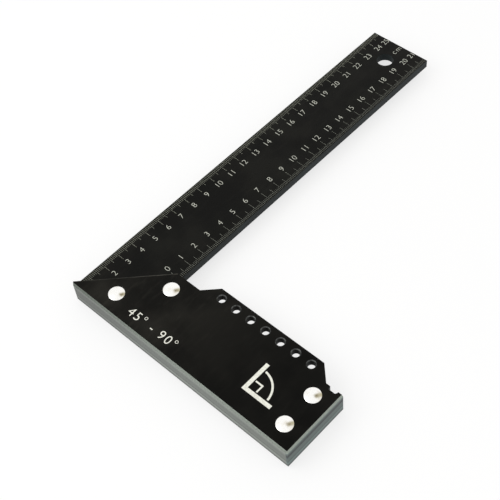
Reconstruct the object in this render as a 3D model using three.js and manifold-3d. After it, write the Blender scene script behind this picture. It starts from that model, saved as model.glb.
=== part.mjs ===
// A steel square with a thick stock. An L-shaped ruler plate is sandwiched between two cheeks,
// and four rivets with domed heads clamp the three layers.
// Millimetres, +Z up. It lies flat: the blade runs along +Y and the stock along +X.
import * as THREE from "three";
import { mergeVertices } from "three/addons/utils/BufferGeometryUtils.js";
import Module from "manifold-3d";

const wasm = await Module();
wasm.setup();

// Ruler plate: the blade and, at right angles, the tongue that fills the stock
const bladeLength = 250; // from the stock's outer edge to the blade's tip
const bladeWidth = 40;
const plateThickness = 5;
const hangingHoleDiameter = 10;
const hangingHoleFromTip = 15;

// Stock
const stockLength = 150; // from the blade's outer edge to the stock's end
const stockWidth = 40;
const frontCheekThickness = 4;
const backCheekThickness = 4;
const cornerCut = 1.35; // off the upright outer corner at 45 degrees; the mitre starts from it
const edgeChamfer = 0.9; // on the front cheek, along the stock's outer edge and its end

// Marking tab: the front cheek's overhang past the stock's inner edge, with sloping ends
const tabDepth = 8;
const tabStart = 16.35; // from the mitre's end to the foot of the first slope
const tabFromEnd = 10.5; // from the stock's end to the foot of the last slope
const markingHoleDiameter = 4.3;
const markingHoleSink = 0.5; // depth and width of its countersink
const markingHolePitch = 10;
const markingHoleWall = 2.55; // least metal between a hole and the tab's edge
const markingHoleFromSlope = 4.25; // from the first slope's top to the first hole's centre

// Notch in the front cheek's inner edge, near the stock's end
const notchRadius = 2.5;
const notchFromEnd = 5.5;

// Rivets
const shankDiameter = 5;
const shankClearance = 0.1; // all round the shank
const headDiameter = 8.8;
const headHeight = 1.2;
const rivetRowFromOuterEdge = 10.75;
const rivetRowFromInnerEdge = 9.25;
const rivetFromMitre = 13.95; // measured along the stock
const rivetFromEnd = 11;

// Facets
const roundSegments = 24;
const domeSteps = 4;
const overshoot = 1; // how far a cutter stands past the face that it cuts

// Heights of the stacked layers, from the tops of the back rivet heads
const backCheekBottom = headHeight;
const plateBottom = backCheekBottom + backCheekThickness;
const plateTop = plateBottom + plateThickness;
const frontCheekTop = plateTop + frontCheekThickness;

// The mitre runs at 45 degrees from the cut corner up to the stock's inner edge.
const mitreEnd = stockWidth - cornerCut;
const slopeFoot = mitreEnd + tabStart;
const slopeTop = slopeFoot + tabDepth;
const lastSlopeFoot = stockLength - tabFromEnd;
const lastSlopeTop = lastSlopeFoot - tabDepth;
const tabEdge = stockWidth + tabDepth;

const finishes = {
  blackened: { color: 0x23231f, roughness: 0.45, metalness: 0.5 },
  rivet: { color: 0xe4e0d4, roughness: 0.22, metalness: 1 },
};

function material(finish) {
  return new THREE.MeshStandardMaterial(finishes[finish]);
}

function circlePath(x, y, radius) {
  return new THREE.Path().absarc(x, y, radius, 0, 2 * Math.PI, false);
}

function extruded(shape, thickness) {
  const settings = { depth: thickness, bevelEnabled: false, curveSegments: roundSegments / 2 };
  return new THREE.ExtrudeGeometry(shape, settings);
}

function solidOf(geometry) {
  const bare = geometry.clone();
  bare.deleteAttribute("normal");
  bare.deleteAttribute("uv");
  const merged = mergeVertices(bare, 1e-4);
  const vertProperties = merged.getAttribute("position").array;
  const triVerts = new Uint32Array(merged.index.array);
  return new wasm.Manifold(new wasm.Mesh({ numProp: 3, vertProperties, triVerts }));
}

function geometryOf(solid) {
  const { vertProperties, triVerts } = solid.getMesh();
  const indexed = new THREE.BufferGeometry();
  indexed.setAttribute("position", new THREE.BufferAttribute(vertProperties, 3));
  indexed.setIndex(new THREE.BufferAttribute(triVerts, 1));
  const flat = indexed.toNonIndexed();
  flat.computeVertexNormals();
  return flat;
}

function piece(name, geometry, finish, height) {
  const mesh = new THREE.Mesh(geometry, material(finish));
  mesh.name = name;
  mesh.position.z = height;
  return mesh;
}

function rivetPlaces() {
  const outerRow = rivetRowFromOuterEdge;
  const innerRow = stockWidth - rivetRowFromInnerEdge;
  const endColumn = stockLength - rivetFromEnd;
  return {
    mitre_outer_rivet: [outerRow - cornerCut + rivetFromMitre, outerRow],
    mitre_inner_rivet: [innerRow - cornerCut + rivetFromMitre, innerRow],
    end_inner_rivet: [endColumn, innerRow],
    end_outer_rivet: [endColumn, outerRow],
  };
}

function addRivetHoles(shape) {
  const radius = shankDiameter / 2 + shankClearance;
  for (const [x, y] of Object.values(rivetPlaces())) {
    shape.holes.push(circlePath(x, y, radius));
  }
}

// As many holes as fit in the row between the two slopes, with the first hole's margin at each end
function markingHolePlaces() {
  const first = slopeTop + markingHoleFromSlope;
  const last = lastSlopeTop - markingHoleFromSlope;
  const count = 1 + Math.floor((last - first) / markingHolePitch + 1e-6);
  const y = tabEdge - markingHoleWall - markingHoleDiameter / 2;
  return Array.from({ length: count }, (_, i) => [first + i * markingHolePitch, y]);
}

// A 45 degree cutter that opens a hole's mouth towards the top of the front cheek
function countersink(x, y) {
  const radius = markingHoleDiameter / 2;
  const depth = markingHoleSink + overshoot;
  const profile = [
    new THREE.Vector2(0, 0),
    new THREE.Vector2(radius, 0),
    new THREE.Vector2(radius + depth, depth),
    new THREE.Vector2(0, depth),
  ];
  const cone = new THREE.LatheGeometry(profile, roundSegments);
  cone.rotateX(Math.PI / 2);
  cone.translate(x, y, frontCheekThickness - markingHoleSink);
  return solidOf(cone);
}

// A 45 degree wedge along the front cheek's top corner, on the stock's outer edge
function outerEdgeWedge() {
  const past = frontCheekThickness + overshoot;
  const wedge = new THREE.Shape();
  wedge.moveTo(-overshoot, frontCheekThickness - edgeChamfer - overshoot);
  wedge.lineTo(edgeChamfer + overshoot, past);
  wedge.lineTo(-overshoot, past);
  wedge.closePath();
  const geometry = extruded(wedge, stockLength + 2 * overshoot);
  geometry.rotateX(Math.PI / 2).rotateZ(Math.PI / 2);
  geometry.translate(-overshoot, 0, 0);
  return solidOf(geometry);
}

// The same wedge along the stock's end
function endWedge() {
  const past = frontCheekThickness + overshoot;
  const wedge = new THREE.Shape();
  wedge.moveTo(stockLength + overshoot, frontCheekThickness - edgeChamfer - overshoot);
  wedge.lineTo(stockLength + overshoot, past);
  wedge.lineTo(stockLength - edgeChamfer - overshoot, past);
  wedge.closePath();
  const geometry = extruded(wedge, stockWidth + 2 * overshoot);
  geometry.rotateX(Math.PI / 2);
  geometry.translate(0, stockWidth + overshoot, 0);
  return solidOf(geometry);
}

function rulerPlate() {
  const shape = new THREE.Shape();
  shape.moveTo(cornerCut, 0);
  shape.lineTo(stockLength, 0);
  shape.lineTo(stockLength, stockWidth);
  shape.lineTo(bladeWidth, stockWidth);
  shape.lineTo(bladeWidth, bladeLength);
  shape.lineTo(0, bladeLength);
  shape.lineTo(0, cornerCut);
  shape.closePath();
  const holeRadius = hangingHoleDiameter / 2;
  shape.holes.push(circlePath(bladeWidth / 2, bladeLength - hangingHoleFromTip, holeRadius));
  addRivetHoles(shape);
  return piece("ruler_plate", extruded(shape, plateThickness), "blackened", plateBottom);
}

function frontCheek() {
  const notchCentre = stockLength - notchFromEnd;
  const shape = new THREE.Shape();
  shape.moveTo(cornerCut, 0);
  shape.lineTo(stockLength, 0);
  shape.lineTo(stockLength, stockWidth);
  shape.lineTo(notchCentre + notchRadius, stockWidth);
  shape.absarc(notchCentre, stockWidth, notchRadius, 0, Math.PI, true);
  shape.lineTo(lastSlopeFoot, stockWidth);
  shape.lineTo(lastSlopeTop, tabEdge);
  shape.lineTo(slopeTop, tabEdge);
  shape.lineTo(slopeFoot, stockWidth);
  shape.lineTo(mitreEnd, stockWidth);
  shape.lineTo(0, cornerCut);
  shape.closePath();
  addRivetHoles(shape);
  const holes = markingHolePlaces();
  for (const [x, y] of holes) {
    shape.holes.push(circlePath(x, y, markingHoleDiameter / 2));
  }
  let cheek = solidOf(extruded(shape, frontCheekThickness))
    .subtract(outerEdgeWedge())
    .subtract(endWedge());
  for (const [x, y] of holes) {
    cheek = cheek.subtract(countersink(x, y));
  }
  return piece("front_cheek", geometryOf(cheek), "blackened", plateTop);
}

// The back cheek has no tab, and its edges stay square.
function backCheek() {
  const shape = new THREE.Shape();
  shape.moveTo(cornerCut, 0);
  shape.lineTo(stockLength, 0);
  shape.lineTo(stockLength, stockWidth);
  shape.lineTo(mitreEnd, stockWidth);
  shape.lineTo(0, cornerCut);
  shape.closePath();
  addRivetHoles(shape);
  return piece("back_cheek", extruded(shape, backCheekThickness), "blackened", backCheekBottom);
}

// Half of a rivet's section, from the bottom dome's pole to the top one's
function rivetProfile() {
  const headRadius = headDiameter / 2;
  const domeRadius = (headRadius ** 2 + headHeight ** 2) / (2 * headHeight);
  const domeAngle = Math.asin(headRadius / domeRadius);
  const dome = Array.from({ length: domeSteps + 1 }, (_, i) => {
    const angle = (domeAngle * i) / domeSteps;
    return new THREE.Vector2(domeRadius * Math.sin(angle), domeRadius * (1 - Math.cos(angle)));
  });
  dome[0].x = 0;
  dome[domeSteps].set(headRadius, headHeight);
  const total = frontCheekTop + headHeight;
  const shankRadius = shankDiameter / 2;
  const bottomShank = new THREE.Vector2(shankRadius, headHeight);
  const topShank = new THREE.Vector2(shankRadius, frontCheekTop);
  const topDome = dome.map((p) => new THREE.Vector2(p.x, total - p.y)).reverse();
  return [...dome, bottomShank, topShank, ...topDome];
}

function rivets() {
  const profile = rivetProfile();
  return Object.entries(rivetPlaces()).map(([name, [x, y]]) => {
    const geometry = new THREE.LatheGeometry(profile, roundSegments);
    geometry.rotateX(Math.PI / 2);
    geometry.translate(x, y, 0);
    return piece(name, geometry, "rivet", 0);
  });
}

// The origin is at the middle of the square's outline, on the surface that it lies on.
const square = new THREE.Group();
square.add(rulerPlate(), frontCheek(), backCheek(), ...rivets());
square.position.set(-stockLength / 2, -bladeLength / 2, 0);

export default square;
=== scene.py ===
import math

import bmesh
import bpy
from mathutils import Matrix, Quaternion, Vector


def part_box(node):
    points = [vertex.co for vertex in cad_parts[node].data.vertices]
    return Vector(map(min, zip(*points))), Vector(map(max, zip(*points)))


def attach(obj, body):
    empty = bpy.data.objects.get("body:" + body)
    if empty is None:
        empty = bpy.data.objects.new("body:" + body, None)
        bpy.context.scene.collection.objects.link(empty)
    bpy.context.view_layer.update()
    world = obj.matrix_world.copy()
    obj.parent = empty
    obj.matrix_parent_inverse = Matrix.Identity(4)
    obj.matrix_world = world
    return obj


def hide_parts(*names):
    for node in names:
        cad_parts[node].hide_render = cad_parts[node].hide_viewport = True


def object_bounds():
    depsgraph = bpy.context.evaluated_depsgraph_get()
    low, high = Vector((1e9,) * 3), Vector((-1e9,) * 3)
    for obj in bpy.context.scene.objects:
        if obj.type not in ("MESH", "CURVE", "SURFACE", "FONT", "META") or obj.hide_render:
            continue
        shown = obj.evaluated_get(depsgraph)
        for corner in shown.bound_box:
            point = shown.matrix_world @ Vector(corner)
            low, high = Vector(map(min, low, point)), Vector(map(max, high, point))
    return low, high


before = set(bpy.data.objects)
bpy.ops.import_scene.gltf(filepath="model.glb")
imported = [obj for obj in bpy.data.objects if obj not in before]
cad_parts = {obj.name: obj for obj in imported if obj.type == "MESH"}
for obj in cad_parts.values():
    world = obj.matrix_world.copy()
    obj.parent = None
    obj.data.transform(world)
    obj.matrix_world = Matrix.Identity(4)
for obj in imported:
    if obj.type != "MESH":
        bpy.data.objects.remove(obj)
cadLow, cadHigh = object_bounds()
print("frame loaded:", ", ".join(sorted(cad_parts)))

mm = 0.001
over = 1 * mm  # how far a cutter stands past what it cuts
cutSlack = 1e-7  # corners nearer than this are one corner where a cut is made
weldReach = 1e-6  # the same, where mirrored halves or text outlines are welded

# Places that every piece shares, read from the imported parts
plateLow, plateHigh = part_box("ruler_plate")
frontLow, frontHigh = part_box("front_cheek")
backLow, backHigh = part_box("back_cheek")
innerEdge = backHigh.y  # the stock's inner edge, where the short scale starts
cornerCut = 1.35 * mm  # off the stock's upright outer corner; the mitre starts from it
mitreEnd = backLow.x + innerEdge - backLow.y - cornerCut  # where the 45 degree mitre ends
middleHeight = (backLow.z + frontHigh.z) / 2
rivetNodes = sorted(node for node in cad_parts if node.endswith("_rivet"))
rivetPlaces = {node: (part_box(node)[0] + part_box(node)[1]) / 2 for node in rivetNodes}

# How much of a face's normal points along one axis, from 0 to 1
tilt = {
    "upright": 0.1,  # an upright face points up or down by less than this
    "sloping": 0.3,
    "side": 0.5,
    "facing": 0.9,  # a face that looks one way does so by more than this
    "nearlyFlat": 0.98,
}

edgeAngles = {
    "eased": math.radians(28),  # edges that turn by more than this are eased
    "smooth": math.radians(35),  # faces that meet at less than this are shaded as one
}


# The few moves that every piece is made with
def only(thing):
    bpy.ops.object.select_all(action="DESELECT")
    thing.select_set(True)
    bpy.context.view_layer.objects.active = thing


def settle(thing):
    only(thing)
    bpy.ops.object.transform_apply(location=True, rotation=True, scale=True)


def startShaping(thing, kind="FACE"):
    only(thing)
    bpy.ops.object.mode_set(mode="EDIT")
    bpy.ops.mesh.select_mode(type=kind)
    bpy.ops.mesh.select_all(action="DESELECT")


def stopShaping():
    bpy.ops.object.mode_set(mode="OBJECT")


# wanted(middle, normal) says which faces are taken
def takeFaces(thing, wanted):
    bpy.ops.mesh.select_mode(type="FACE")
    bpy.ops.mesh.select_all(action="DESELECT")
    sheet = bmesh.from_edit_mesh(thing.data)
    sheet.normal_update()
    for face in sheet.faces:
        if wanted(face.calc_center_median(), face.normal):
            face.select_set(True)
    bmesh.update_edit_mesh(thing.data)


# wanted(corner) has to hold at both ends of an edge
def takeEdges(thing, wanted):
    bpy.ops.mesh.select_mode(type="EDGE")
    bpy.ops.mesh.select_all(action="DESELECT")
    sheet = bmesh.from_edit_mesh(thing.data)
    for edge in sheet.edges:
        if all(wanted(corner.co) for corner in edge.verts):
            edge.select_set(True)
    bmesh.update_edit_mesh(thing.data)


def split(place, normal, keepBehind=False):
    bpy.ops.mesh.select_all(action="SELECT")
    bpy.ops.mesh.bisect(plane_co=place, plane_no=normal, use_fill=keepBehind,
                        clear_outer=keepBehind, threshold=cutSlack)


def pull(x=0.0, y=0.0, z=0.0):
    move = {"value": (x, y, z), "orient_type": "GLOBAL"}
    bpy.ops.mesh.extrude_region_move(TRANSFORM_OT_translate=move)


def near(one, other, slack=0.01 * mm):
    return abs(one - other) < slack


def addBlock(name, low, high):
    low, high = Vector(low), Vector(high)
    bpy.ops.object.select_all(action="DESELECT")
    bpy.ops.mesh.primitive_cube_add(size=1, location=(low + high) / 2)
    block = bpy.context.object
    block.name = name
    block.scale = high - low
    settle(block)
    return block


def addRound(name, place, radius, bottom, top, sides):
    bpy.ops.object.select_all(action="DESELECT")
    middle = (place[0], place[1], (bottom + top) / 2)
    bpy.ops.mesh.primitive_cylinder_add(vertices=sides, radius=radius, depth=top - bottom,
                                        location=middle)
    made = bpy.context.object
    made.name = name
    settle(made)
    return made


def copyOf(thing, name, move):
    only(thing)
    bpy.ops.object.duplicate(linked=False)
    copy = bpy.context.object
    copy.name = name
    copy.location = Vector(move)
    settle(copy)
    return copy


def joined(things, name):
    bpy.ops.object.select_all(action="DESELECT")
    for thing in things:
        thing.select_set(True)
    bpy.context.view_layer.objects.active = things[0]
    if len(things) > 1:
        bpy.ops.object.join()
    things[0].name = name
    return things[0]


def modify(thing, kind, **settings):
    only(thing)
    bpy.ops.object.modifier_add(type=kind)
    modifier = thing.modifiers[-1]
    for key, value in settings.items():
        setattr(modifier, key, value)
    bpy.ops.object.modifier_apply(modifier=modifier.name)


def drill(thing, cutters):
    cutter = joined(cutters, "cutter")
    modify(thing, "BOOLEAN", operation="DIFFERENCE", solver="EXACT", object=cutter)
    bpy.data.objects.remove(cutter)


def dress(thing, finishes):
    thing.data.materials.clear()
    for finish in finishes:
        thing.data.materials.append(finish)


def coatFaces(thing, finish, wanted):
    startShaping(thing)
    takeFaces(thing, wanted)
    thing.active_material_index = thing.data.materials.find(finish.name)
    bpy.ops.object.material_slot_assign()
    stopShaping()


# Small eased edges that catch light and keep the finish beside them, then clean shading
def easeEdges(thing, width):
    modify(thing, "BEVEL", width=width, segments=2, limit_method="ANGLE",
           angle_limit=edgeAngles["eased"], material=-1, use_clamp_overlap=False)
    only(thing)
    bpy.ops.object.shade_smooth_by_angle(angle=edgeAngles["smooth"])
    modify(thing, "WEIGHTED_NORMAL", keep_sharp=True)


def finishPiece(thing, nodes=()):
    only(thing)
    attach(thing, "root")
    if nodes:
        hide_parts(*nodes)
    print("made", thing.name, len(thing.data.polygons), "faces")


# Finishes are written as sums on wires between nodes
class Wire:
    def __init__(self, paint, socket):
        self.paint = paint
        self.socket = socket

    def sum(self, operation, first, second):
        return self.paint.add("ShaderNodeMath", {"operation": operation}, {0: first, 1: second})

    def __add__(self, other):
        return self.sum("ADD", self, other)

    def __radd__(self, other):
        return self.sum("ADD", other, self)

    def __sub__(self, other):
        return self.sum("SUBTRACT", self, other)

    def __rsub__(self, other):
        return self.sum("SUBTRACT", other, self)

    def __mul__(self, other):
        return self.sum("MULTIPLY", self, other)

    def __rmul__(self, other):
        return self.sum("MULTIPLY", other, self)

    # 0 below low, 1 above high, and soft between
    def rise(self, low, high):
        ends = {"Value": self, "From Min": low, "From Max": high, "To Min": 0.0, "To Max": 1.0}
        return self.paint.add("ShaderNodeMapRange", {"interpolation_type": "SMOOTHSTEP"}, ends)

    # 1 around a middle value, fading over blur outside half a width
    def band(self, middle, width, blur):
        up = self.rise(middle - width / 2 - blur, middle - width / 2)
        down = self.rise(middle + width / 2, middle + width / 2 + blur)
        return up * (1 - down)


class Paint:
    def __init__(self, name, owner=None):
        self.material = owner or bpy.data.materials.new(name)
        self.material.use_nodes = True
        self.tree = self.material.node_tree

    def add(self, kind, settings=None, values=None, output=0):
        node = self.tree.nodes.new(kind)
        for key, value in (settings or {}).items():
            setattr(node, key, value)
        self.join(node, values or {})
        return Wire(self, node.outputs[output])

    def join(self, node, values):
        for key, value in values.items():
            socket = node.inputs[key]
            if isinstance(value, Wire):
                self.tree.links.new(value.socket, socket)
            else:
                socket.default_value = value

    def place(self):
        return self.add("ShaderNodeTexCoord", output="Object")

    def axis(self, place, letter):
        return self.add("ShaderNodeSeparateXYZ", {}, {"Vector": place}, output=letter)

    def stretched(self, place, scale):
        return self.add("ShaderNodeMapping", {}, {"Vector": place, "Scale": scale})

    def noise(self, place, scale, detail=2.0, roughness=0.5):
        values = {"Vector": place, "Scale": scale, "Detail": detail, "Roughness": roughness}
        return self.add("ShaderNodeTexNoise", {}, values)

    # A colour mix has numbered sockets: 0 is the share, 6 and 7 are the two colours.
    def blend(self, first, second, share, mode="MIX"):
        settings = {"data_type": "RGBA", "blend_type": mode}
        return self.add("ShaderNodeMix", settings, {0: share, 6: first, 7: second}, output=2)

    def bump(self, height, strength, distance):
        values = {"Height": height, "Strength": strength, "Distance": distance}
        return self.add("ShaderNodeBump", {}, values)

    def shade(self, values):
        self.join(self.tree.nodes["Principled BSDF"], values)
        return self.material


def colour(red, green, blue):
    return (red, green, blue, 1.0)


coatLook = {
    "deep": colour(0.0016, 0.0016, 0.0012),
    "worn": colour(0.0088, 0.0086, 0.0068),
    "cloudScale": 48,  # slow patches, about 20 mm
    "cloudEnds": (0.36, 0.66),  # noise levels where a patch starts and where it is full
    "cloudShare": 0.55,
    "grainScale": 1700,  # fine blasted grain under the coat
    "grainShare": 0.3,
    "rubScale": 420,  # short rubs that run along the blade
    "rubStretch": (1.0, 0.22, 1.0),
    "rubEnds": (0.5, 0.78),
    "rubShare": 0.25,
    "gloss": 0.075,
    "roughness": 0.43,
    "roughnessSpread": 0.14,
    "cloudRoughness": 0.05,
    "relief": 0.012 * mm,
    "shadeAway": 0.0,  # how much darker the coat is painted away from the blade, as painted shade
    "fadeStart": 35 * mm,  # from the blade's outer edge
    "fadeEnd": 95 * mm,
    "rubbedEdgeHighlight": colour(0.120, 0.115, 0.098),
    "edgeWearAndHighlight": 0.0,
}

# The cheeks are painted darker towards the end, as painted shade, and the mitre's edge has been
# rubbed and carries a painted highlight.
cheekLook = {
    "cloudScale": 36,
    "deep": colour(0.0012, 0.0012, 0.0009),
    "worn": colour(0.0205, 0.0192, 0.0156),
    "gloss": 0.055,
    "shadeAway": 0.66,
    "edgeWearAndHighlight": 0.75,
}

# The coat on the upright faces is painted greyer and cooler, as a painted reflection on the sides.
sideSheenLook = {
    "deep": colour(0.0058, 0.0078, 0.0080),
    "worn": colour(0.0210, 0.0275, 0.0285),
    "gloss": 0.08,
}


hairLine = {
    "full": 0.30 * mm,  # measured along the stock from the mitre
    "gone": 0.62 * mm,
    "gainStart": 14 * mm,  # from the stock's outer edge
    "gain": 0.65,
    "least": 0.35,
    "patchScale": 210,
    "patchEnds": (0.34, 0.56),
    "patchShare": 0.6,
    "leastPatch": 0.4,
}


# 1 on a hair line along the mitre, in patches, and stronger towards its inner end: rubbed coat with a
# painted highlight of the edge
def mitreWear(paint, place):
    x = paint.axis(place, "X")
    y = paint.axis(place, "Y")
    fromMitre = x - y - (frontLow.x - frontLow.y - cornerCut)
    line = 1 - fromMitre.rise(hairLine["full"], hairLine["gone"])
    inward = y.rise(frontLow.y + hairLine["gainStart"], innerEdge)
    patches = paint.noise(place, hairLine["patchScale"]).rise(*hairLine["patchEnds"])
    strength = inward * hairLine["gain"] + hairLine["least"]
    return line * strength * (patches * hairLine["patchShare"] + hairLine["leastPatch"])


def blackCoat(name, look):
    paint = Paint(name)
    place = paint.place()
    x = paint.axis(place, "X")
    fromBlade = x.rise(cadLow.x + look["fadeStart"], cadLow.x + look["fadeEnd"])
    clouds = paint.noise(place, look["cloudScale"], detail=3).rise(*look["cloudEnds"])
    grain = paint.noise(place, look["grainScale"])
    rubbing = paint.noise(paint.stretched(place, look["rubStretch"]), look["rubScale"])
    rubbed = rubbing.rise(*look["rubEnds"])
    worn = clouds * look["cloudShare"] + grain * look["grainShare"] + rubbed * look["rubShare"]
    coat = paint.blend(look["deep"], look["worn"], worn * (1 - fromBlade * look["shadeAway"]))
    bareAndSheen = mitreWear(paint, place) * look["edgeWearAndHighlight"]
    roughness = look["roughness"] + (grain - 0.5) * look["roughnessSpread"]
    return paint.shade({
        "Base Color": paint.blend(coat, look["rubbedEdgeHighlight"], bareAndSheen),
        "Roughness": roughness + clouds * look["cloudRoughness"],
        "Specular IOR Level": look["gloss"],
        "Normal": paint.bump(grain, 0.5, look["relief"]),
    })


edgeLook = {
    "coat": colour(0.010, 0.010, 0.009),
    "metal": colour(0.20, 0.21, 0.20),
    "share": 0.55,
    "patchScale": 160,
    "patchEnds": (0.42, 0.70),
    "speckScale": 1500,
    "speckEnds": (0.40, 0.62),
    "roughness": 0.5,
    "polish": 0.2,  # how much smoother the bare metal is
    "gloss": 0.3,
}


# Coat rubbed thin along an edge, so that metal shows in patches, and painted lighter as a painted
# highlight of the edge
def wornEdge(name, look):
    paint = Paint(name)
    place = paint.place()
    patches = paint.noise(place, look["patchScale"], detail=3).rise(*look["patchEnds"])
    specks = paint.noise(place, look["speckScale"]).rise(*look["speckEnds"])
    bareAndSheen = patches * specks * look["share"]
    return paint.shade({
        "Base Color": paint.blend(look["coat"], look["metal"], bareAndSheen),
        "Metallic": bareAndSheen,
        "Roughness": look["roughness"] - bareAndSheen * look["polish"],
        "Specular IOR Level": look["gloss"],
    })


groundLook = {
    "dark": colour(0.138, 0.153, 0.135),
    "light": colour(0.196, 0.217, 0.192),
    "lineScale": (1500.0, 1500.0, 55.0),  # grinding marks run up the edge, across the layers
    "lineEnds": (0.25, 0.75),
    "lineShare": 0.75,
    "cloudScale": 90,
    "cloudShare": 0.25,
    "roughness": 0.36,
    "roughnessSpread": 0.2,
    "bump": 0.6,
    "relief": 0.02 * mm,
    "endDepth": (1.2 * mm, 0.9 * mm),  # the stock's end starts this far inside its face
    "fadeStart": -20 * mm,  # from the blade's outer edge
    "fadeEnd": 100 * mm,
    "outerLightTone": 1.24,
    "outerShadeFade": 0.58,  # how much darker the long side is painted at the blade, as painted shade
    # the end is painted darker and cooler than the long side, as painted shade
    "endShadeTone": 0.62,
    "endShadeTint": (1.0, 1.28, 1.34),
}

# Where each step starts and ends, counted up from a face of the stock
layerShadeSteps = {
    "topLayer": (-0.6 * mm, -1.2 * mm),  # from the plate's top, and to the front cheek's top
    "chamfer": (-1.0 * mm, -0.8 * mm),  # both from the front cheek's top
    "foot": (0.6 * mm, 1.9 * mm),  # both from the back cheek's bottom
}

# Each band's middle, counted up from a face of the plate, then its width and its blur
layerShadeBands = {
    "topSeamShade": (0.7 * mm, 1.7 * mm, 0.8 * mm),
    "wheelLine": (-1.4 * mm, 0.15 * mm, 0.3 * mm),
    "lowSeam": (0.6 * mm, 0.4 * mm, 0.5 * mm),
    "brightReflectionBand": (-1.1 * mm, 1.2 * mm, 0.7 * mm),
}

# How much each band adds to the tone or takes from it, on both sides or on one, as painted reflection
# and shade
layerShadeTones = {
    "base": 0.72,
    "brightReflectionBand": 0.42,
    "foot": 0.36,
    "lowSeam": 0.20,
    "wheelLine": 0.10,
    "sideTopLight": 0.42,
    # the chamfers: the long side's is painted darker as painted shade, the end's brighter as a
    # painted highlight
    "sideChamferShade": 0.12,
    "endTopLight": 0.20,
    "endTopSeamShade": 0.60,
    "endChamferHighlight": 1.7,
}


def layerStep(height, lowFace, highFace, name):
    start, end = layerShadeSteps[name]
    return height.rise(lowFace + start, highFace + end)


def layerBand(height, face, name):
    fromFace, width, blur = layerShadeBands[name]
    return height.band(face + fromFace, width, blur)


# Bands by height along both ground sides paint reflection and shade, with darker bands at the joints
# and towards the foot.
def groundSteel(name, look):
    paint = Paint(name)
    place = paint.place()
    along = paint.axis(place, "X")
    height = paint.axis(place, "Z")
    lines = paint.noise(paint.stretched(place, look["lineScale"]), 1.0, detail=3)
    clouds = paint.noise(place, look["cloudScale"])
    endOuter, endInner = look["endDepth"]
    atEnd = along.rise(cadHigh.x - endOuter, cadHigh.x - endInner)
    fromBlade = along.rise(cadLow.x + look["fadeStart"], cadLow.x + look["fadeEnd"])

    # What lies at each height: steps first, then bands
    topLayer = layerStep(height, plateHigh.z, frontHigh.z, "topLayer")
    chamfer = layerStep(height, frontHigh.z, frontHigh.z, "chamfer")
    foot = 1 - layerStep(height, backLow.z, backLow.z, "foot")
    topSeamShade = layerBand(height, plateHigh.z, "topSeamShade")
    wheelLine = layerBand(height, plateHigh.z, "wheelLine")
    lowSeam = layerBand(height, plateLow.z, "lowSeam")
    brightReflectionBand = layerBand(height, plateLow.z, "brightReflectionBand")

    tones = layerShadeTones
    shade = tones["base"] + brightReflectionBand * tones["brightReflectionBand"] - foot * tones["foot"]
    shade = shade - lowSeam * tones["lowSeam"] - wheelLine * tones["wheelLine"]
    sideShade = shade + topLayer * tones["sideTopLight"] - chamfer * tones["sideChamferShade"]
    endShade = shade + topLayer * tones["endTopLight"] - topSeamShade * tones["endTopSeamShade"]
    endShade = endShade + chamfer * tones["endChamferHighlight"]
    outerLightTone = look["outerLightTone"] - (1 - fromBlade) * look["outerShadeFade"]
    sideTone = (1 - atEnd) * sideShade * outerLightTone
    endShadeTone = atEnd * endShade * look["endShadeTone"]
    red, green, blue = [sideTone + endShadeTone * (share + chamfer * (1 - share))
                        for share in look["endShadeTint"]]
    paintedLightTint = paint.add("ShaderNodeCombineColor", {}, {"Red": red, "Green": green, "Blue": blue})
    tone = lines.rise(*look["lineEnds"]) * look["lineShare"] + clouds * look["cloudShare"]
    steel = paint.blend(look["dark"], look["light"], tone)
    steel = paint.blend(steel, paintedLightTint, 1.0, "MULTIPLY")
    return paint.shade({
        "Base Color": steel,
        "Metallic": 1.0,
        "Roughness": look["roughness"] + (lines - 0.5) * look["roughnessSpread"],
        "Normal": paint.bump(lines, look["bump"], look["relief"]),
    })


rimLook = {
    "dark": colour(0.030, 0.031, 0.030),
    "light": colour(0.110, 0.114, 0.110),
    "stainScale": 700,
    "stainEnds": (0.35, 0.7),
    "metallic": 0.7,
    "roughness": 0.34,
    "stainRoughness": 0.12,
}


# Countersinks cut after the coat was on, in dark metal with lighter patches
def cutRim(name, look):
    paint = Paint(name)
    place = paint.place()
    stain = paint.noise(place, look["stainScale"], detail=3).rise(*look["stainEnds"])
    return paint.shade({
        "Base Color": paint.blend(look["dark"], look["light"], stain),
        "Metallic": look["metallic"],
        "Roughness": look["roughness"] + stain * look["stainRoughness"],
    })


rivetLook = {
    "bright": colour(0.93, 0.92, 0.89),
    "dull": colour(0.84, 0.81, 0.74),
    "dullScale": 260,
    "dullEnds": (0.48, 0.72),
    "dentScale": 330,
    "dentHeight": 0.8,
    "scuffScale": 1900,
    "scuffHeight": 0.1,
    "roughness": 0.17,
    "dullRoughness": 0.08,
    "scuffRoughness": 0.1,
    "relief": 0.05 * mm,
}


def rivetMetal(name, look):
    paint = Paint(name)
    place = paint.place()
    dents = paint.noise(place, look["dentScale"])
    scuffs = paint.noise(place, look["scuffScale"], detail=3, roughness=0.6)
    dull = paint.noise(place, look["dullScale"], detail=3).rise(*look["dullEnds"])
    roughness = look["roughness"] + dull * look["dullRoughness"]
    height = dents * look["dentHeight"] + scuffs * look["scuffHeight"]
    return paint.shade({
        "Base Color": paint.blend(look["bright"], look["dull"], dull),
        "Metallic": 1.0,
        "Roughness": roughness + (scuffs - 0.5) * look["scuffRoughness"],
        "Normal": paint.bump(height, 0.5, look["relief"]),
    })


markLook = {
    "patchScale": 1300,
    "patchEnds": (0.3, 0.7),
    "roughness": 0.62,
    "patchRoughness": 0.12,
    "gloss": 0.2,
}


# Marks burnt into the coat: pale, dry and a little uneven
def burntMark(name, pale, dim):
    look = markLook
    paint = Paint(name)
    place = paint.place()
    patchy = paint.noise(place, look["patchScale"], detail=3).rise(*look["patchEnds"])
    return paint.shade({
        "Base Color": paint.blend(dim, pale, patchy),
        "Roughness": look["roughness"] + patchy * look["patchRoughness"],
        "Specular IOR Level": look["gloss"],
    })


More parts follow.
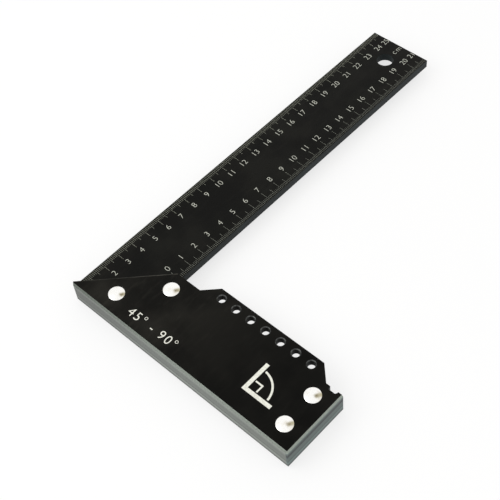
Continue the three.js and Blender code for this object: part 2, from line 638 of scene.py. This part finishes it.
plateCoat = blackCoat("plate_coat", coatLook)
cheekCoat = blackCoat("cheek_coat", {**coatLook, **cheekLook})
sideSheenCoat = blackCoat("side_coat_sheen", {**coatLook, **sideSheenLook})
edgeCoatSheen = wornEdge("worn_edge_sheen", edgeLook)
edgeSteel = groundSteel("ground_steel", groundLook)
rimSteel = cutRim("cut_rim", rimLook)
domeMetal = rivetMetal("rivet_metal", rivetLook)
lineMark = burntMark("line_mark", colour(0.36, 0.37, 0.30), colour(0.21, 0.215, 0.17))
innerLineMark = burntMark("inner_line_mark", colour(0.26, 0.27, 0.23), colour(0.15, 0.155, 0.13))
figureMark = burntMark("figure_mark", colour(0.58, 0.59, 0.52), colour(0.38, 0.385, 0.33))
stockMark = burntMark("stock_mark", colour(0.80, 0.80, 0.72), colour(0.64, 0.64, 0.57))
print("finishes mixed")


stockSizes = {
    "chamfer": 0.9 * mm,
    "shankRadius": 2.5 * mm,
    "holeRadius": 2.6 * mm,  # of the rivet holes through all three layers
    "holeSides": 48,
    "easedEdge": 0.07 * mm,
}


# The faces that were ground bare after the layers were riveted together
def isGround(middle, normal):
    outerSide = middle.y < cadLow.y + cornerCut and normal.y < -tilt["side"]
    endSide = middle.x > cadHigh.x - stockSizes["chamfer"] and normal.x > tilt["side"]
    return outerSide or endSide


def isUpright(middle, normal):
    return abs(normal.z) < tilt["upright"]


def rivetDrills(bottom, top):
    drills = []
    for place in rivetPlaces.values():
        drills.append(addRound("drill", place, stockSizes["holeRadius"],
                               bottom - over, top + over, stockSizes["holeSides"]))
    return drills


# Ruler plate: the blade, with a tongue that fills the stock
plateSizes = {
    "bladeWidth": 40 * mm,
    "hangingRadius": 5 * mm,
    "hangingSides": 96,
    "hangingFromTip": 15 * mm,
    "easedEdge": 0.09 * mm,
}


def makePlate():
    bladeEdge = plateLow.x + plateSizes["bladeWidth"]
    plate = addBlock("ruler_plate_finished", plateLow, (bladeEdge, plateHigh.y, plateHigh.z))
    startShaping(plate)
    split((0, innerEdge, 0), (0, 1, 0))
    takeFaces(plate, lambda middle, normal: normal.x > tilt["facing"] and middle.y < innerEdge)
    pull(x=plateHigh.x - bladeEdge)
    split((plateLow.x, plateLow.y + cornerCut, 0), (-1, -1, 0), keepBehind=True)
    stopShaping()
    hangingPlace = (plateLow.x + plateSizes["bladeWidth"] / 2,
                    plateHigh.y - plateSizes["hangingFromTip"])
    drills = rivetDrills(plateLow.z, plateHigh.z)
    drills.append(addRound("drill", hangingPlace, plateSizes["hangingRadius"],
                           plateLow.z - over, plateHigh.z + over, plateSizes["hangingSides"]))
    drill(plate, drills)
    dress(plate, [plateCoat, edgeSteel, sideSheenCoat])
    coatFaces(plate, sideSheenCoat, isUpright)
    coatFaces(plate, edgeSteel, isGround)
    easeEdges(plate, plateSizes["easedEdge"])
    finishPiece(plate, ["ruler_plate"])


makePlate()


# Front cheek, with its mitre, marking tab and notch
frontSizes = {
    "tabStart": 16.35 * mm,  # from the mitre's end to the foot of the first slope
    "tabFromEnd": 10.5 * mm,  # from the stock's end to the foot of the last slope
    "holes": 7,
    "holeRadius": 2.15 * mm,
    "holeSides": 48,
    "holeSink": 0.5 * mm,
    "holePitch": 10 * mm,
    "holeWall": 2.55 * mm,  # between a hole's bore and the tab's edge
    "holeFromSlope": 4.25 * mm,
    "notchRadius": 2.5 * mm,
    "notchSides": 64,
    "notchFromEnd": 5.5 * mm,
    "rimReach": 0.2 * mm,  # how far the mitre's eased edge reaches, along the stock
    "boreSlack": 0.1 * mm,
}


# A block with a 45 degree end, mitred as far as the inner edge
def mitredBlock(name, low, high):
    block = addBlock(name, low, (high.x, innerEdge, high.z))
    startShaping(block)
    split((low.x, low.y + cornerCut, 0), (-1, 1, 0), keepBehind=True)
    split((low.x, low.y + cornerCut, 0), (-1, -1, 0), keepBehind=True)
    stopShaping()
    return block


def chamferOuterEdges(cheek):
    startShaping(cheek, "EDGE")
    takeEdges(cheek, lambda corner: near(corner.z, frontHigh.z) and near(corner.y, cadLow.y))
    bpy.ops.mesh.bevel(offset=stockSizes["chamfer"], segments=1, affect="EDGES")
    takeEdges(cheek, lambda corner: near(corner.z, frontHigh.z) and near(corner.x, cadHigh.x))
    bpy.ops.mesh.bevel(offset=stockSizes["chamfer"], segments=1, affect="EDGES")
    stopShaping()


# One drill with a cone above it opens a hole and its countersink in one go
def countersinkDrill(place):
    radius = frontSizes["holeRadius"]
    sink = frontSizes["holeSink"]
    made = addRound("drill", place, radius, frontLow.z - over, frontHigh.z - sink,
                    frontSizes["holeSides"])
    startShaping(made)
    takeFaces(made, lambda middle, normal: normal.z > tilt["facing"])
    pull(z=sink + over)
    grow = (radius + sink + over) / radius
    middle = (place[0], place[1], frontHigh.z + over)
    bpy.ops.transform.resize(value=(grow, grow, 1), center_override=middle)
    stopShaping()
    return made


def markingHoles():
    slopeTop = mitreEnd + frontSizes["tabStart"] + frontHigh.y - innerEdge
    first = slopeTop + frontSizes["holeFromSlope"]
    y = frontHigh.y - frontSizes["holeWall"] - frontSizes["holeRadius"]
    return [Vector((first + i * frontSizes["holePitch"], y)) for i in range(frontSizes["holes"])]


def isCheekSide(middle, normal):
    reach = frontSizes["holeRadius"] + frontSizes["boreSlack"]
    inHole = any((middle.xy - place).length < reach for place in markingHoles())
    return isUpright(middle, normal) and not inHole


def isCountersink(middle, normal):
    return tilt["sloping"] < normal.z < tilt["facing"] and middle.y > innerEdge


# The eased edge along the top of the mitre
def isMitreRim(middle, normal):
    fromMitre = (middle.x - frontLow.x) - (middle.y - frontLow.y - cornerCut)
    return abs(fromMitre) < frontSizes["rimReach"] and tilt["upright"] < normal.z < tilt["nearlyFlat"]


def makeFrontCheek():
    tabDepth = frontHigh.y - innerEdge
    foot = mitreEnd + frontSizes["tabStart"]
    lastFoot = frontHigh.x - frontSizes["tabFromEnd"]
    cheek = mitredBlock("front_cheek_finished", frontLow, frontHigh)
    startShaping(cheek)
    split((foot, 0, 0), (1, 0, 0))
    split((lastFoot, 0, 0), (1, 0, 0))
    takeFaces(cheek, lambda middle, normal: (normal.y > tilt["facing"]
                                             and foot < middle.x < lastFoot))
    pull(y=tabDepth)
    tabWidth = lastFoot - foot
    narrower = (tabWidth - 2 * tabDepth) / tabWidth
    tabMiddle = ((foot + lastFoot) / 2, frontHigh.y, 0)
    bpy.ops.transform.resize(value=(narrower, 1, 1), center_override=tabMiddle)
    stopShaping()
    chamferOuterEdges(cheek)
    drills = rivetDrills(frontLow.z, frontHigh.z)
    first, *others = markingHoles()
    model = countersinkDrill(first)
    for place in others:
        drills.append(copyOf(model, "drill", (*(place - first), 0)))
    drills.append(model)
    notchPlace = (frontHigh.x - frontSizes["notchFromEnd"], innerEdge)
    drills.append(addRound("drill", notchPlace, frontSizes["notchRadius"],
                           frontLow.z - over, frontHigh.z + over, frontSizes["notchSides"]))
    drill(cheek, drills)
    dress(cheek, [cheekCoat, edgeSteel, sideSheenCoat, rimSteel, edgeCoatSheen])
    coatFaces(cheek, sideSheenCoat, isCheekSide)
    coatFaces(cheek, edgeSteel, isGround)
    coatFaces(cheek, rimSteel, isCountersink)
    easeEdges(cheek, stockSizes["easedEdge"])
    coatFaces(cheek, edgeCoatSheen, isMitreRim)
    finishPiece(cheek, ["front_cheek"])


makeFrontCheek()


# Back cheek: the same mitre, with square edges
def makeBackCheek():
    cheek = mitredBlock("back_cheek_finished", backLow, backHigh)
    drill(cheek, rivetDrills(backLow.z, backHigh.z))
    dress(cheek, [cheekCoat, edgeSteel, sideSheenCoat])
    coatFaces(cheek, sideSheenCoat, isUpright)
    coatFaces(cheek, edgeSteel, isGround)
    easeEdges(cheek, stockSizes["easedEdge"])
    finishPiece(cheek, ["back_cheek"])


makeBackCheek()


# Rivets: a low dome on a thin lip, its shank, and the same head below
rivetSizes = {
    "headRadius": 4.4 * mm,
    "lip": 0.16 * mm,
    "easedEdge": 0.05 * mm,
    "sides": 72,
    "rings": 150,
}


def makeRivets():
    node = rivetNodes[0]
    place = rivetPlaces[node]
    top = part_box(node)[1].z
    radius = rivetSizes["headRadius"]
    domeBase = frontHigh.z + rivetSizes["lip"]
    rise = top - domeBase
    ballRadius = (radius ** 2 + rise ** 2) / (2 * rise)
    bpy.ops.object.select_all(action="DESELECT")
    ballMiddle = (place.x, place.y, top - ballRadius)
    bpy.ops.mesh.primitive_uv_sphere_add(segments=rivetSizes["sides"], ring_count=rivetSizes["rings"],
                                         radius=ballRadius, location=ballMiddle)
    model = bpy.context.object
    settle(model)
    startShaping(model)
    split((0, 0, domeBase), (0, 0, -1), keepBehind=True)
    takeFaces(model, lambda middle, normal: normal.z < -tilt["facing"])
    pull(z=-rivetSizes["lip"])
    bpy.ops.mesh.inset(thickness=radius - stockSizes["shankRadius"])
    pull(z=middleHeight - frontHigh.z)
    bpy.ops.mesh.delete(type="FACE")
    stopShaping()
    bpy.context.scene.cursor.location = (place.x, place.y, middleHeight)
    only(model)
    bpy.ops.object.origin_set(type="ORIGIN_CURSOR")
    modify(model, "MIRROR", use_axis=(False, False, True), use_mirror_merge=True,
           merge_threshold=weldReach)
    startShaping(model)
    bpy.ops.mesh.select_all(action="SELECT")
    bpy.ops.mesh.remove_doubles(threshold=cutSlack)
    bpy.ops.mesh.normals_make_consistent(inside=False)
    stopShaping()
    settle(model)
    dress(model, [domeMetal])
    for other in rivetNodes[1:]:
        rivet = copyOf(model, other + "_finished", rivetPlaces[other] - place)
        easeEdges(rivet, rivetSizes["easedEdge"])
        finishPiece(rivet, [other])
    model.name = node + "_finished"
    easeEdges(model, rivetSizes["easedEdge"])
    finishPiece(model, [node])


makeRivets()


# Scales: lines and figures burnt into the plate
markSizes = {
    "sunk": 0.010 * mm,  # how deep a mark's solid goes under the coat
    "proud": 0.015 * mm,
    "curveSteps": 4,
}

scaleSizes = {
    "lineWidth": 0.13 * mm,
    "longLine": 6.6 * mm,
    "halfLine": 4.6 * mm,
    "outerShort": 2.9 * mm,
    "innerShort": 2.2 * mm,
    "fromEdge": 0.4 * mm,
    "figureSize": 5.1 * mm,  # of the type, which makes figures 3.6 mm high
    "figureThin": 0.08 * mm,
    "figureFromEdge": 10.25 * mm,
    "figurePastLine": 0.6 * mm,
    "outerCount": 25,  # centimetres on each scale
    "innerCount": 21,
    "figureFromTip": 2.6 * mm,  # the last figures stay at least this far from the blade's tip
    "unitFromEdge": 20.7 * mm,
    "unitFromTip": {"c": 6.7 * mm, "m": 2.8 * mm},
}


# toInside is 1 for lines that run from the outer edge and -1 from the inner one
def makeLines(name, edge, toInside, shortLine, start, count, finish):
    bottom = plateHigh.z - markSizes["sunk"]
    top = plateHigh.z + markSizes["proud"]
    half = scaleSizes["lineWidth"] / 2
    lengths = {0: scaleSizes["longLine"], 5: scaleSizes["halfLine"]}
    lines = []
    for i in range(10):
        farEnd = scaleSizes["fromEdge"] + lengths.get(i, shortLine)
        ends = sorted([edge + toInside * scaleSizes["fromEdge"], edge + toInside * farEnd])
        middle = start + i * mm
        low = (ends[0], middle - half, bottom)
        high = (ends[1], middle + half, top)
        lines.append(addBlock("line", low, high))
    scale = joined(lines, name)
    modify(scale, "ARRAY", count=count, use_relative_offset=False, use_constant_offset=True,
           constant_offset_displace=(0, 10 * mm, 0))
    startShaping(scale)
    split((plateLow.x, plateLow.y + cornerCut, 0), (1, -1, 0), keepBehind=True)
    bpy.ops.mesh.select_all(action="SELECT")
    bpy.ops.mesh.normals_make_consistent(inside=False)
    stopShaping()
    dress(scale, [finish])
    finishPiece(scale)


def writeMark(text, size, thin, middle, turn, spacing=1.0):
    bpy.ops.object.select_all(action="DESELECT")
    bpy.ops.object.text_add()
    mark = bpy.context.object
    mark.data.body = text
    mark.data.size = size
    mark.data.resolution_u = markSizes["curveSteps"]
    mark.data.offset = -thin
    mark.data.space_character = spacing
    mark.data.extrude = (markSizes["sunk"] + markSizes["proud"]) / 2
    bpy.ops.object.convert(target="MESH")
    mark = bpy.context.object
    bpy.ops.object.origin_set(type="ORIGIN_GEOMETRY", center="BOUNDS")
    above = (markSizes["proud"] - markSizes["sunk"]) / 2
    mark.location = (middle[0], middle[1], middle[2] + above)
    mark.rotation_euler = (0, 0, turn)
    settle(mark)
    startShaping(mark)
    bpy.ops.mesh.select_all(action="SELECT")
    bpy.ops.mesh.remove_doubles(threshold=weldReach)
    bpy.ops.mesh.normals_make_consistent(inside=False)
    stopShaping()
    return mark


# Figures stand beside the long lines and read along the blade
def makeFigures(name, x, start, first, last):
    size, thin = scaleSizes["figureSize"], scaleSizes["figureThin"]
    highest = plateHigh.y - scaleSizes["figureFromTip"]
    figures = []
    for number in range(first, last + 1):
        y = min(start + number * 10 * mm + scaleSizes["figurePastLine"], highest)
        figures.append(writeMark(str(number), size, thin, (x, y, plateHigh.z), math.pi / 2))
    made = joined(figures, name)
    dress(made, [figureMark])
    finishPiece(made)


def makeScales():
    outer = plateLow.x
    inner = plateLow.x + plateSizes["bladeWidth"]
    away = scaleSizes["figureFromEdge"]
    outerCount, innerCount = scaleSizes["outerCount"], scaleSizes["innerCount"]
    makeLines("outer_scale_lines", outer, 1, scaleSizes["outerShort"], plateLow.y, outerCount,
              lineMark)
    makeLines("inner_scale_lines", inner, -1, scaleSizes["innerShort"], innerEdge, innerCount,
              innerLineMark)
    makeFigures("outer_scale_figures", outer + away, plateLow.y, 2, outerCount)
    makeFigures("inner_scale_figures", inner - away, innerEdge, 0, innerCount)
    size, thin = scaleSizes["figureSize"], scaleSizes["figureThin"]
    letters = []
    for letter, fromTip in scaleSizes["unitFromTip"].items():
        place = (outer + scaleSizes["unitFromEdge"], plateHigh.y - fromTip, plateHigh.z)
        letters.append(writeMark(letter, size, thin, place, math.pi / 2))
    unit = joined(letters, "unit_mark")
    dress(unit, [figureMark])
    finishPiece(unit)


makeScales()


# Stock marks: the angles that the square sets, and a plain right angle sign
stockMarkSizes = {
    "typeSize": 7.4 * mm,
    "typeThin": 0.05 * mm,
    "typeSpacing": 1.22,
    "type": "45° - 90°",
    "typeMiddle": (52.5 * mm, 8.25 * mm),  # from the stock's outer corner
    "signMiddle": (119.2 * mm, 20.8 * mm),
    "signHalf": 9.0 * mm,
    "barWidth": 2.2 * mm,
    "cornerSide": 4.6 * mm,
    "cornerGap": 0.7 * mm,  # between the small corner and the bars
    "thinWidth": 0.9 * mm,
    "arcRadius": 12.5 * mm,
    "arcWidth": 1.1 * mm,
    "arcGap": 0.9 * mm,
    "arcSides": 96,
}


def flatBar(x1, y1, x2, y2):
    bottom = frontHigh.z - markSizes["sunk"]
    top = frontHigh.z + markSizes["proud"]
    return addBlock("bar", (x1, y1, bottom), (x2, y2, top))


def makeStockMarks():
    sizes = stockMarkSizes
    typeX, typeY = sizes["typeMiddle"]
    typePlace = (frontLow.x + typeX, frontLow.y + typeY, frontHigh.z)
    angles = writeMark(sizes["type"], sizes["typeSize"], sizes["typeThin"], typePlace, 0,
                       sizes["typeSpacing"])
    angles.name = "angle_mark"
    dress(angles, [stockMark])
    finishPiece(angles)

    left = frontLow.x + sizes["signMiddle"][0] - sizes["signHalf"]
    right = left + 2 * sizes["signHalf"]
    low = frontLow.y + sizes["signMiddle"][1] - sizes["signHalf"]
    high = low + 2 * sizes["signHalf"]
    wide = sizes["barWidth"]
    thin = sizes["thinWidth"]
    side = sizes["cornerSide"]
    gap = sizes["cornerGap"]
    upright = flatBar(left, low, left + wide, high)
    startShaping(upright)
    split((0, low + wide, 0), (0, 1, 0))
    takeFaces(upright, lambda middle, normal: normal.x > tilt["facing"] and middle.y < low + wide)
    pull(x=right - left - wide)
    stopShaping()
    cornerLeft = left + wide + side
    cornerTop = low + wide + side
    corner = flatBar(cornerLeft, low + wide + gap, cornerLeft + thin, cornerTop)
    startShaping(corner)
    takeFaces(corner, lambda middle, normal: normal.y > tilt["facing"])
    pull(y=thin)
    takeFaces(corner, lambda middle, normal: normal.x < -tilt["facing"] and middle.y > cornerTop)
    pull(x=gap - side)
    stopShaping()
    hub = (left + wide, low + wide)
    bottom = frontHigh.z - markSizes["sunk"]
    top = frontHigh.z + markSizes["proud"]
    sides = sizes["arcSides"]
    inside = sizes["arcRadius"] - sizes["arcWidth"]
    arc = addRound("arc", hub, sizes["arcRadius"], bottom, top, sides)
    drill(arc, [addRound("drill", hub, inside, bottom - over, top + over, sides)])
    startShaping(arc)
    split((hub[0] + sizes["arcGap"], 0, 0), (-1, 0, 0), keepBehind=True)
    split((0, hub[1] + sizes["arcGap"], 0), (0, -1, 0), keepBehind=True)
    stopShaping()
    sign = joined([upright, corner, arc], "right_angle_sign")
    dress(sign, [stockMark])
    finishPiece(sign)


makeStockMarks()
print("pieces made")


# Floor, light and camera
studio = {
    "floorSize": 8.0,
    "floorTone": 0.24,
    "floorSpread": 0.01,
    "floorScale": 6.0,
    "floorRoughness": 0.9,
    "floorGlow": 0.72,  # the pale floor is lit from below as well, so that shadows stay faint
    "skyStrength": 1.05,
    "overheadEnds": (0.1, 0.3),
    "keyPlace": (-0.55, -0.75, 0.85),
    "keySize": 0.9,
    "keyPower": 4.0,
    "gapTurn": (0.36, 0.93),  # east and north of the way that the gap runs
    "gapTone": colour(0.50, 0.46, 0.32),  # a warm gap between the lamps overhead
    "gapAcross": (-0.16, 0.20, 0.20),  # middle, width and blur
    "gapEnds": (0.14, 0.38),
    "coreTone": colour(0.24, 0.20, 0.12),
    "coreAcross": (-0.18, 0.06, 0.14),
    "coreAlong": (0.44, 0.12, 0.18),
}

cameraSizes = {
    "place": (0.2439, -0.2850, 0.4720),
    "aim": (-0.0201, -0.0476, 0.0102),
    "lens": 79.4,
    "roll": -6.66,
}


def makeFloor():
    bpy.ops.object.select_all(action="DESELECT")
    bpy.ops.mesh.primitive_plane_add(size=studio["floorSize"], location=(0, 0, cadLow.z))
    floor = bpy.context.object
    floor.name = "floor"
    settle(floor)
    paint = Paint("floor_paper")
    tone = studio["floorTone"]
    palest = tone + studio["floorSpread"]
    mottle = paint.noise(paint.place(), studio["floorScale"])
    dress(floor, [paint.shade({
        "Base Color": paint.blend(colour(tone, tone, tone), colour(palest, palest, palest), mottle),
        "Roughness": studio["floorRoughness"],
        "Specular IOR Level": 0.0,
        "Emission Color": colour(1, 1, 1),
        "Emission Strength": studio["floorGlow"],
    })])


def makeLight():
    world = bpy.data.worlds.new("studio_sky")
    bpy.context.scene.world = world
    paint = Paint("studio_sky", world)
    direction = paint.add("ShaderNodeTexCoord", output="Generated")
    east = paint.axis(direction, "X")
    north = paint.axis(direction, "Y")
    overhead = paint.axis(direction, "Z").rise(*studio["overheadEnds"])
    turnEast, turnNorth = studio["gapTurn"]
    along = east * turnEast + north * turnNorth
    across = east * turnNorth - north * turnEast
    gap = across.band(*studio["gapAcross"]) * along.rise(*studio["gapEnds"]) * overhead
    core = across.band(*studio["coreAcross"]) * along.band(*studio["coreAlong"]) * overhead
    sky = paint.blend(colour(1, 1, 1), studio["gapTone"], gap)
    sky = paint.blend(sky, studio["coreTone"], core)
    paint.join(paint.tree.nodes["Background"], {"Color": sky, "Strength": studio["skyStrength"]})
    bpy.ops.object.light_add(type="AREA", location=studio["keyPlace"])
    key = bpy.context.object
    key.name = "key_light"
    key.data.size = studio["keySize"]
    key.data.energy = studio["keyPower"]
    key.rotation_euler = (-Vector(studio["keyPlace"])).to_track_quat("-Z", "Y").to_euler()


def makeCamera():
    place = Vector(cameraSizes["place"])
    bpy.ops.object.camera_add(location=place)
    camera = bpy.context.object
    camera.data.lens = cameraSizes["lens"]
    facing = (Vector(cameraSizes["aim"]) - place).to_track_quat("-Z", "Y")
    rolled = facing @ Quaternion((0, 0, 1), math.radians(cameraSizes["roll"]))
    camera.rotation_euler = rolled.to_euler()
    bpy.context.scene.camera = camera


makeFloor()
makeLight()
makeCamera()
bpy.context.scene.view_settings.view_transform = "Standard"
print("studio ready")
